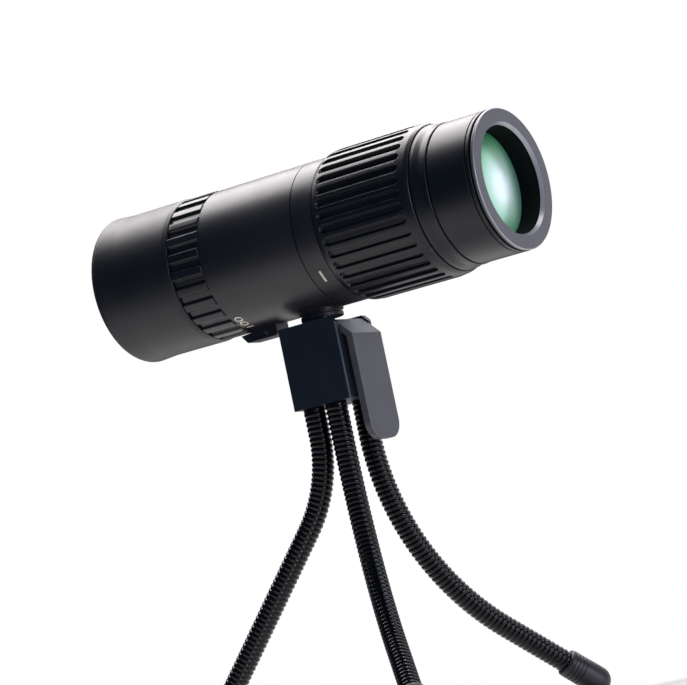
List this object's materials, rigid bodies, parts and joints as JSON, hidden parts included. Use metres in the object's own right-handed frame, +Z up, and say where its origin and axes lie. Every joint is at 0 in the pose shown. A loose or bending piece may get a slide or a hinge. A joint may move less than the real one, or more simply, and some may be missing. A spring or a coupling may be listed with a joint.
{
  "type": "spotting scope",
  "caption": "Hand-sized zoom spotting scope with a notched zoom ring and ribbed focus grip, standing on a mini tripod with a lever-lock ball head and bendable gooseneck legs.",
  "frame": {"origin": "on the floor, centred under the overall bounding box", "axes": "+X along the optical axis towards the objective, +Z up, +Y to the left of someone looking along +X"},
  "size_m": [0.1528, 0.1142, 0.1846],
  "materials": {
    "body_paint": "satin black",
    "rubber": "soft matt",
    "mark": "printed cream",
    "head_plastic": "moulded, semi-matt",
    "lever_plastic": "moulded, semi-matt",
    "nylon": "natural nylon",
    "steel": "turned",
    "brass": "turned",
    "black_aluminium": "black anodised",
    "bezel_aluminium": "satin, turned",
    "zoom_rubber": "satin",
    "grip_rubber": "satin",
    "gooseneck": "gloss black",
    "clear_glass": "polished",
    "coated_glass": "green anti-reflection coating"
  },
  "bodies": {
    "head": {"head_housing": "head_plastic", "head_base": "head_plastic", "base_screws": "steel", "ball_seat": "nylon", "seat_springs": "steel", "lever_pin": "steel"},
    "lever": {"lever": "lever_plastic"},
    "clamp_pad": {"clamp_pad": "brass"},
    "stud": {"ball_stud": "steel", "stud_flange": "black_aluminium", "flange_pad": "rubber", "tripod_screw": "steel"},
    "scope": {"main_tube": "body_paint", "index_ring": "body_paint", "index_mark": "mark", "strap_lug": "body_paint", "threaded_insert": "brass", "focus_guide_sleeve": "black_aluminium", "focus_retainer": "black_aluminium", "eyepiece_barrel": "black_aluminium", "eyecup": "rubber", "eye_lens": "clear_glass", "field_lens": "clear_glass", "eye_lens_spacer": "black_aluminium", "eyepiece_retainer": "black_aluminium", "zoom_guide_tube": "black_aluminium", "prism_cage": "head_plastic", "roof_prism": "clear_glass", "half_prism": "clear_glass", "prism_clip": "steel", "field_stop": "black_aluminium"},
    "zoom": {"zoom_ring": "zoom_rubber", "zoom_cam_tube": "black_aluminium", "zoom_drive_screw": "steel"},
    "rear_carrier": {"rear_carrier": "black_aluminium", "rear_zoom_lens": "clear_glass", "rear_carrier_pins": "steel"},
    "front_carrier": {"front_carrier": "black_aluminium", "front_zoom_lens": "clear_glass", "front_carrier_pins": "steel"},
    "focus": {"focus_grip": "grip_rubber", "focus_core": "black_aluminium"},
    "objective": {"objective_tube": "body_paint", "bezel": "bezel_aluminium", "objective_crown": "coated_glass", "objective_flint": "clear_glass", "objective_seat_ring": "black_aluminium", "focus_pins": "steel"},
    "rear_leg": {"leg_rear": "gooseneck", "foot_rear": "rubber"},
    "near_leg": {"leg_near": "gooseneck", "foot_near": "rubber"},
    "far_leg": {"leg_far": "gooseneck", "foot_far": "rubber"}
  },
  "joints": [
    {"name": "ball_tilt", "type": "hinge", "parent": "head", "child": "stud", "pos_m": [-0.00207, 0, 0.1278], "axis": [0, -1, 0], "range_deg": [-12, 12]},
    {"name": "scope_pan", "type": "hinge", "parent": "stud", "child": "scope", "pos_m": [-0.00207, 0, 0.1278], "axis": [0, 0, 1], "range_deg": [-180, 180]},
    {"name": "zoom_turn", "type": "hinge", "parent": "scope", "child": "zoom", "pos_m": [-0.03437, 0, 0.16], "axis": [1, 0, 0], "range_deg": [0, 75]},
    {"name": "rear_carrier_slide", "type": "slide", "parent": "scope", "child": "rear_carrier", "axis": [1, 0, 0], "range_m": [0, 0.0045]},
    {"name": "front_carrier_slide", "type": "slide", "parent": "scope", "child": "front_carrier", "axis": [1, 0, 0], "range_m": [0, 0.0095]},
    {"name": "focus_turn", "type": "hinge", "parent": "scope", "child": "focus", "pos_m": [0.03453, 0, 0.16], "axis": [1, 0, 0], "range_deg": [0, 300]},
    {"name": "objective_slide", "type": "slide", "parent": "scope", "child": "objective", "axis": [1, 0, 0], "range_m": [0, 0.01]},
    {"name": "lever_flip", "type": "hinge", "parent": "head", "child": "lever", "pos_m": [0.00643, 0, 0.1291], "axis": [0, -1, 0], "range_deg": [0, 72]},
    {"name": "pad_slide", "type": "slide", "parent": "head", "child": "clamp_pad", "axis": [1, 0, 0], "range_m": [0, 0.0002]},
    {"name": "rear_leg_bend", "type": "hinge", "parent": "head", "child": "rear_leg", "pos_m": [-0.00827, -0.0062, 0.1056], "axis": [-0.1736, 0.9848, 0], "range_deg": [-2, 30]},
    {"name": "near_leg_bend", "type": "hinge", "parent": "head", "child": "near_leg", "pos_m": [0.00013, -0.0062, 0.1056], "axis": [-0.788, -0.6157, 0], "range_deg": [-2, 30]},
    {"name": "far_leg_bend", "type": "hinge", "parent": "head", "child": "far_leg", "pos_m": [0.00233, 0.0062, 0.1056], "axis": [0.788, -0.6157, 0], "range_deg": [-2, 30]}
  ],
  "couplings": [
    {"joint": "rear_carrier_slide", "follows": "zoom_turn", "m_per_rad": 0.0034301},
    {"joint": "front_carrier_slide", "follows": "zoom_turn", "m_per_rad": 0.0072498},
    {"joint": "objective_slide", "follows": "focus_turn", "m_per_rad": 0.001906},
    {"joint": "pad_slide", "follows": "lever_flip", "m_per_rad": 0.00015836}
  ]
}
